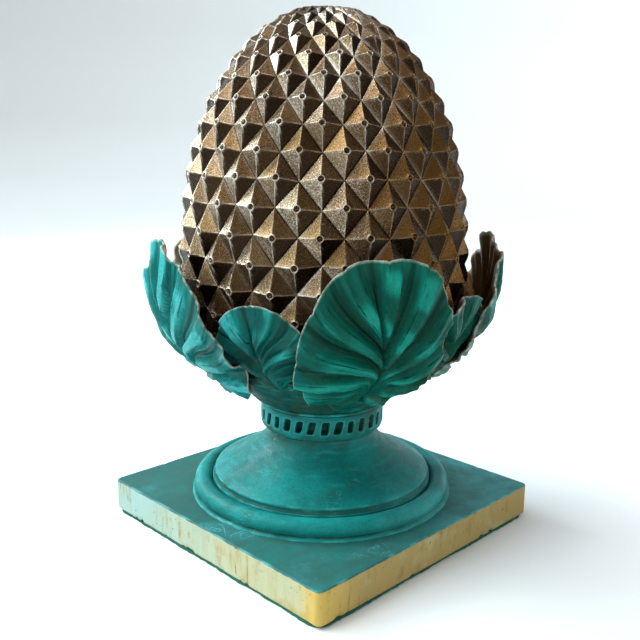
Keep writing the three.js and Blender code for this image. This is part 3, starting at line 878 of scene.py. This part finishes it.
def net_points(heights):
    """The net's corners: scale points and the valleys between them, a little uneven as if hand cut."""
    rng = np.random.default_rng(SEED + 40)
    steps = 2 * SCALE_COLUMNS
    row, step = np.indices((len(heights), steps))
    radius, away, up = (values[:, None] for values in egg(heights))
    size = np.sqrt(radius / CONE_RADIUS)
    peak = ((row + step) % 2 == 0) & (row > 0) & (row < len(heights) - 1)
    calm = 0.70 + 0.30 * smooth(radius, 30, 75)
    sink = np.where(peak, 0, SCALE_RELIEF * size * calm)
    sink = sink + np.abs(rng.normal(0, 0.28, sink.shape)) * size
    azimuth = np.radians(SCALE_PHASE) + np.pi * step / SCALE_COLUMNS
    azimuth = azimuth + rng.normal(0, 0.45, sink.shape) * size / np.maximum(radius, 12)
    points = polar(radius - sink * away, azimuth, heights[:, None] - sink * up)
    slide = np.clip(rng.normal(0, 0.4, sink.shape), -0.9, 0.9) * size
    along = polar(-up, azimuth, away)
    return points + slide[..., None] * along, peak


def scale_faces(points, peak, rows):
    """Corners (point, left, right) of the four faces of every scale in some rows."""
    steps = points.shape[1]
    faces = []
    for row in rows:
        for step in np.flatnonzero(peak[row]):
            ring = [
                points[row, (step + 1) % steps], points[row + 1, step],
                points[row, step - 1], points[row - 1, step],
            ]
            faces += [(points[row, step], ring[k], ring[(k + 1) % 4]) for k in range(4)]
    return np.array(faces), np.tile(np.arange(4), len(faces) // 4)


def add_scales(shell, corners, sides, turns, rings, shares, seams, pits):
    """A fan of points on each face, from the scale's point out to the seam, raised and marked there."""
    sides = sides[:, None, None]
    point, left, right = (corners[:, i][:, None, None, :] for i in range(3))
    size = np.sqrt(egg(point[..., 2])[0] / CONE_RADIUS)
    turn = np.asarray(turns)[None, None, :, None]
    reach = left + turn * (right - left) - point
    axis = outward(point)
    drop = -(reach * axis).sum(-1)
    length = span(reach + drop[..., None] * axis)
    height = span(np.cross(point - left, unit(right - left)))
    pit = PIT_RADIUS * size
    near = [k * pit / length for k in rings]
    far = [share + 0 * length for share in shares]
    edge = [1 - np.minimum(k * size, 0.3 * height) / height + 0 * length for k in seams]
    share = np.concatenate([0 * length, *near, *far, *edge], 1)
    flat = point + share[..., None] * reach
    apart = share * length
    ridges = [span(np.cross(flat - point, unit(corner - point))) for corner in (left, right)]
    ridge = np.minimum(*ridges)
    seam = (1 - share) * height
    beyond = smooth(apart, 1.2 * pit, 2.0 * pit)
    out = outward(flat)
    beads_and_highlights = [RIDGE_RUB_AND_HIGHLIGHT[(sides + k) % 4] * bump(ridges[k], 0, RIDGE_WIDTH * size) for k in (0, 1)]
    bead = np.maximum(*beads_and_highlights) * (0.35 + 0.65 * bump(apart, 1.8 * pit, 3 * pit)) * beyond
    lift = 0.10 * wobble(flat, 5, SEED + 41) * np.minimum(smooth(seam, 0, 1.5), smooth(ridge, 0, 1.5))
    lift = lift + RIDGE_BEAD * size * bead
    lift = lift - SEAM_DEPTH * size * (1 - np.clip(seam / (0.5 * SEAM_WIDTH * size), 0, 1))
    # Rub at random, with painted glints growing towards the window side
    rub_and_glint = smooth(wobble(flat, 60, SEED + 46), -1.0, 1.0)
    rub_and_glint = np.maximum(rub_and_glint, smooth(-flat[..., 0] - flat[..., 1], 20, 90))
    wear = (0.35 + 0.65 * rub_and_glint) * bead
    wear = wear + rub_and_glint * bump(seam, 0.8 * SEAM_WIDTH * size, 0.38) * SEAM_RUB_AND_HIGHLIGHT[sides]
    # Painted shade along the seams
    recess = 0.60 * bump(seam, 0, 0.17 * size)
    if pits:
        # A round bowl with a thin raised rim, drawn to a point below, on a level top; the rim is painted pale
        # with rub and painted highlight, and painted shade lies in the bowl
        level = POINT_CUT * size
        lift = lift + (share * drop - level) * (1 - smooth(apart, 1.1 * pit, 1.7 * pit))
        below = np.where(sides == 2, ridges[1], ridges[0]) + 99 * (sides < 2)
        round_pit = apart - 0.5 * pit * bump(below, 0, 0.5 * size) * (apart > pit)
        rim = bump(round_pit, 1.10 * pit, 0.20 * pit)
        hole = 1 - smooth(apart, 0.30 * pit, 1.0 * pit)
        lift = lift + RIM_HEIGHT * size * rim - PIT_DEPTH * size * hole
        wear = np.maximum(wear * (1 - hole), (0.30 + 0.45 * rub_and_glint) * rim)
        recess = np.maximum(recess * (1 - hole), 0.45 * smooth(hole, 0.2, 0.8))
    rng = np.random.default_rng(SEED + 45)
    # Painted shade by which way each face looks, deeper towards the side away from the window
    shade = FACE_SHADES[sides] + rng.uniform(-0.18, 0.18, sides.shape)
    shade = shade + FAR_SIDE_SHADES[sides] * smooth(flat[..., 0] + flat[..., 1], 5, 85)
    plain = smooth(apart, 1.0 * pit, 1.35 * pit) if pits else 1
    recess = np.maximum(recess, shade * smooth(ridge, 0.05, 0.35) * plain * (1 - wear))
    # Grey painted reflection by which way each face looks, varied at random
    tarnish = np.clip(FACE_REFLECTIONS[sides] + rng.uniform(-0.3, 0.3, sides.shape), 0, 1)
    points = flat + lift[..., None] * out
    faces, rows, columns = points.shape[:3]
    quads = grid_faces(rows, columns)
    every = (np.arange(faces) * rows * columns)[:, None, None] + quads[None]
    shell.add(
        points, every.reshape(-1, 4), wear=np.clip(wear, 0, 1), recess=np.clip(recess, 0, 1),
        tarnish=tarnish)


def build_cone(material):
    heights = scale_rings()
    points, peak = net_points(heights)
    last = len(heights) - 1
    steps = points.shape[1]
    shell = Shell(("wear", "recess", "tarnish"))
    small = egg(heights)[0] < SMALL_SCALES_RADIUS
    for net, chosen in ((FINE_NET, ~small), (COARSE_NET, small)):
        rows = 1 + np.flatnonzero(chosen[1:last])
        add_scales(shell, *scale_faces(points, peak, rows), **net)
    # Plain caps above the last scales and below the first
    for row, beyond, top in ((last, last - 1, CONE_WAIST + CONE_CROWN_HEIGHT), (0, 1, COLLAR_TOP)):
        faces = []
        for step in range(steps):
            before, here, after = (points[row, (step + k) % steps] for k in (-1, 0, 1))
            faces.append([here, after, (0, 0, top - CROWN_SINK * (row > 0))])
            if (row + step) % 2 == 0:
                tip = points[beyond, step]
                faces += [[tip, here, before], [tip, after, here]]
        index = np.arange(len(faces) * 3).reshape(-1, 3)
        shell.add(np.array(faces), index if row else index[:, ::-1])
    return shell.build("cone", material)


# Leaves

def leaf_surface(leaf, turn, reach, depth, relief):
    """Points of a leaf's skin, sunk by depth, with how far each lies up a rib (0 to 1) and in the midrib's
    groove, and its place across the ribs in radians, one rib a turn, negative on the midrib's left."""
    ribs = leaf.ribs
    lobe = np.floor(ribs * (turn + np.pi) / (2 * np.pi)).astype(int) % ribs
    bulge = leaf.bulges[lobe] * np.abs(np.sin(ribs * turn / 2)) ** 0.6
    tip = bump(turn, 0, 0.17 if leaf.point > 0 else 0.7)
    shoulder = bump(np.abs(turn), 0.5, 0.3)
    outline = 1.0 - 0.05 * leaf.notch * (1 - bulge) + leaf.point * (tip - 0.8 * shoulder)
    across = leaf.width / 2 * np.sin(turn) * outline
    along = leaf.length / 2 - LEAF_HEEL + leaf.length / 2 * np.cos(turn) * outline
    # The midrib swings aside towards the root
    lean = math.radians(leaf.lean) + leaf.bend * (1 - reach) ** 2
    side = reach * (across * np.cos(lean) + along * np.sin(lean))
    rise = reach * (along * np.cos(lean) - across * np.sin(lean))
    point, away = guide_at(LEAF_ROOT_RISE + rise)
    # Ribs leave the midrib low down and bend outwards as they rise
    turn = turn + leaf.skew * (1 + np.cos(turn)) / 2
    branching = LEAF_BRANCHING * (1 - np.clip(reach, LEAF_FAN_REACH, 1)) ** LEAF_BRANCH_POWER
    phase = ribs * (np.abs(turn) + branching * (1 + np.cos(turn)) / 2)
    which = (np.floor(phase / (2 * np.pi)).astype(int) + (turn < 0) * 17) % len(leaf.heights)
    narrow = leaf.narrows[which]
    crest = smooth(np.abs(np.sin(phase / 2)), narrow - 0.22, narrow + 0.08)
    fine = leaf.fine * np.sin(3.5 * phase + leaf.wave[0]) * smooth(reach, 0.40, 0.65)
    strength = smooth(reach, 0.10, 0.38) * (1 - 0.45 * smooth(reach, 0.7, 1.0)) * relief
    groove = bump(leaf.width / 2 * np.sin(turn) * reach, 0, MIDRIB_WIDTH) * (np.cos(turn) > 0)
    rib = LEAF_RIB_HEIGHT * ((2 * crest - 1) * leaf.heights[which] + fine) * strength
    rib = rib * (1 - groove) - MIDRIB_DEPTH * groove * relief * smooth(reach, 0.0, 0.1)
    wave = 1.3 * np.sin(3 * turn + leaf.wave[0]) + 0.9 * np.sin(5 * turn + leaf.wave[1])
    low = smooth(np.abs(turn), 1.5, 2.2) * (1 - smooth(np.abs(turn), 2.7, np.pi))
    ruffle = LEAF_RUFFLE * low * np.sin(11 * turn + leaf.wave[1])
    flare = LEAF_TIP_FLARE * np.maximum(0, np.cos(turn)) * reach ** 4 + (wave + ruffle) * reach ** 3
    inset = leaf.inset * (LEAF_ROOT_INSET + (1 - LEAF_ROOT_INSET) * smooth(reach, 0, LEAF_INSET_REACH))
    offset = rib + flare - inset - depth
    azimuth = math.radians(leaf.azimuth) + side / point[..., 0]
    radius = point[..., 0] + offset * away[..., 0]
    points = polar(radius, azimuth, point[..., 1] + offset * away[..., 1])
    return points, crest, groove, phase * np.sign(turn)


def skins(outer, rim, inner):
    """One value for each row of a leaf: its outer skin, its rim and its inner skin."""
    return np.concatenate([outer, [rim], inner])[:, None]


def add_leaf(shell, leaf):
    count = leaf.ribs * LEAF_POINTS_PER_RIB
    turn = (np.arange(count) * 2 * np.pi / count - np.pi)[None, :]
    outer, inner = LEAF_OUTER_ROWS, LEAF_INNER_ROWS
    reach = skins(outer, LEAF_RIM_REACH, inner)
    thin = LEAF_ROOT_THICKNESS + (LEAF_THICKNESS - LEAF_ROOT_THICKNESS) * smooth(inner, 0, 0.8)
    below = np.where(inner > 0.98, LEAF_EDGE_THICKNESS, thin)
    depth = skins(0 * outer, 0.5 * LEAF_EDGE_THICKNESS, below)
    relief = skins(1 + 0 * outer, 1, smooth(inner, 0.35, 0.7))
    points, crest, groove, phase = leaf_surface(leaf, turn, reach, depth, relief)
    within = skins(0 * outer, 0.5, 1 + 0 * inner)
    outer_skin = within < 0.4
    texture = 0.14 * wobble(points, 7, leaf.seed) + 0.07 * wobble(points, 3, leaf.seed + 1)
    axis = points * np.array([1, 1, 0])
    points = points + texture[..., None] * axis / span(axis)[..., None]
    rub_and_highlight = smooth(wobble(points, 26, leaf.seed + 2), -1.2, 0.8)
    dusk = smooth(wobble(points, 34, leaf.seed + 3), 0.0, 1.2) * smooth(reach, 0.55, 0.85)
    # Crests painted pale, rub and painted highlight, more on the leaves painted as more lit
    wear = 0.80 * leaf.rub * crest ** 2 * smooth(reach, 0.05, 0.30) * rub_and_highlight * outer_skin
    wear = wear * (1 - 0.7 * dusk)
    # Painted shade in the troughs and the midrib's groove, less on the leaves painted as more lit
    trough = (1 - crest) * smooth(reach, 0.06, 0.32) * smooth(reach, 1.08, 0.88)
    painted_shade = 0.92 * np.clip(1.9 - leaf.rub, 0.4, 1.05)
    recess = np.maximum(painted_shade * trough, groove * smooth(reach, 0.98, 0.85)) * outer_skin
    recess = np.maximum(recess, 0.45 * dusk * outer_skin)
    # Painted shade away from the window, and painted highlight towards it
    across = points[..., 0] + points[..., 1]
    recess = np.maximum(recess, 0.95 * smooth(across, 30, 95) * (1 - 0.8 * crest) * outer_skin)
    wear = np.maximum(wear, 0.42 * smooth(-across, 25, 95) * outer_skin)
    recess = np.maximum(recess, leaf.shade * (1 - smooth(reach, 0.45, 1.0)) * smooth(-turn, -0.1, 0.6))
    # Painted shade inside the leaves, towards their roots
    recess = np.maximum(recess * outer_skin, 0.60 * (within > 0.9) * (1 - smooth(reach, 0.35, 0.80)))
    wear = np.maximum(wear, 0.9 * (within > 0.9) * smooth(reach, 0.62, 1.0) * rub_and_highlight)
    rim = skins(0 * outer, 1.0, 0 * inner)
    rim[len(outer) - 1], rim[len(outer) + 1] = 0.6, 0.9
    shell.add(
        points, grid_faces(len(reach), count, closed=True, flip=True), wear=np.clip(wear, 0, 1),
        recess=np.clip(recess, 0, 1), inside=within, edge=rim, rib=phase * 0.5,
        rise=reach * 1.2 + leaf.seed,
        veined=smooth(reach, 0.12, 0.40) * smooth(np.abs(turn), 0.0, 0.12) * outer_skin)


def build_leaves(material):
    rng = np.random.default_rng(SEED + 60)
    pitch = 360 / LEAF_PAIRS
    for name, (form, kinds) in LEAF_SETS.items():
        shell = Shell(("wear", "recess", "inside", "edge", "rib", "rise", "veined"))
        for i in range(LEAF_PAIRS):
            leaf = SimpleNamespace(**form, **{key: values[i] for key, values in kinds.items()})
            leaf.azimuth += pitch * i
            leaf.seed = SEED + 70 + 3 * i + leaf.ribs
            leaf.bulges = rng.uniform(0.55, 1.0, leaf.ribs)
            leaf.heights = rng.uniform(0.65, 1.12, LEAF_RIB_KINDS)
            leaf.narrows = rng.uniform(0.70, 0.92, LEAF_RIB_KINDS)
            leaf.wave = rng.uniform(0, 2 * math.pi, 2)
            leaf.fine = rng.uniform(0.10, 0.24)
            add_leaf(shell, leaf)
        shell.build(name, material)


# Floor, light and camera

def build_stage():
    """A pale floor that sweeps up into a low wall far away on every side."""
    rows = np.array(FLOOR_PROFILE)
    azimuth = np.arange(FLOOR_SEGMENTS) * 2 * np.pi / FLOOR_SEGMENTS
    points = polar(rows[:, :1], azimuth, rows[:, 1:])
    faces = grid_faces(len(rows), FLOOR_SEGMENTS, closed=True).tolist() + [list(range(FLOOR_SEGMENTS))]
    material = Paint("pale_floor").finish(FLOOR_COLOUR, 0.85)
    floor = mesh_object("floor", points.reshape(-1, 3), faces, material)


def add_light(kind, name, azimuth, elevation, distance, power, colour):
    light = bpy.data.lights.new(name, kind)
    light.energy = power
    light.color = colour
    lamp = add_object(name, light)
    a, e = math.radians(azimuth), math.radians(elevation)
    back = Vector((math.sin(a) * math.cos(e), -math.cos(a) * math.cos(e), math.sin(e)))
    lamp.location = Vector((0, 0, LAMP_AIM)) + back * distance
    lamp.rotation_euler = (-back).to_track_quat("-Z", "Y").to_euler()
    return light


def build_light():
    world = bpy.data.worlds.new("studio")
    bpy.context.scene.world = world
    world.use_nodes = True
    nodes, links = world.node_tree.nodes, world.node_tree.links
    sky = nodes["Background"]
    sky.inputs["Color"].default_value = SKY_COLOUR
    side = nodes.new("ShaderNodeVectorMath")
    side.operation = "DOT_PRODUCT"
    side.inputs[1].default_value = WINDOW_SIDE
    links.new(nodes.new("ShaderNodeTexCoord").outputs["Generated"], side.inputs[0])
    level = nodes.new("ShaderNodeMapRange")
    for name, value in zip(("From Min", "From Max", "To Min", "To Max"), (-1, 1, *SKY_STRENGTHS)):
        level.inputs[name].default_value = value
    links.new(side.outputs["Value"], level.inputs["Value"])
    links.new(level.outputs["Result"], sky.inputs["Strength"])
    window = add_light("SUN", "window", -40, 36, 2, 3.1, (0.78, 0.95, 1.0))
    window.angle = math.radians(WINDOW_ANGLE)
    for name, azimuth, elevation, power, colour in LAMPS:
        panel = add_light("AREA", name, azimuth, elevation, LAMP_DISTANCE, power, colour)
        panel.shape = "DISK"
        panel.size = LAMP_SIZE
    bpy.context.scene.view_settings.view_transform = "Standard"


def build_camera():
    tilt, yaw, roll = CAMERA_TILT, CAMERA_YAW, CAMERA_ROLL
    ahead = Vector((math.sin(yaw) * math.cos(tilt), math.cos(yaw) * math.cos(tilt), -math.sin(tilt)))
    level = Vector((math.cos(yaw), -math.sin(yaw), 0))
    above = level.cross(ahead)
    right = level * math.cos(roll) + above * math.sin(roll)
    up = -level * math.sin(roll) + above * math.cos(roll)
    data = bpy.data.cameras.new("camera")
    data.lens = CAMERA_LENS
    data.sensor_width = 36
    camera = add_object("camera", data)
    turn = Matrix.Rotation(math.radians(CAMERA_AZIMUTH), 3, "Z")
    axes = Matrix((right, up, -ahead)).transposed()
    camera.matrix_world = Matrix.Translation(turn @ Vector(CAMERA_PLACE)) @ (turn @ axes).to_4x4()
    bpy.context.scene.camera = camera


build_camera()
build_light()
build_stage()
build_felt(felt_material())
build_plinth(plinth_material())
build_foot(teal_material())
build_cone(bronze_material())
build_leaves(leaf_material())
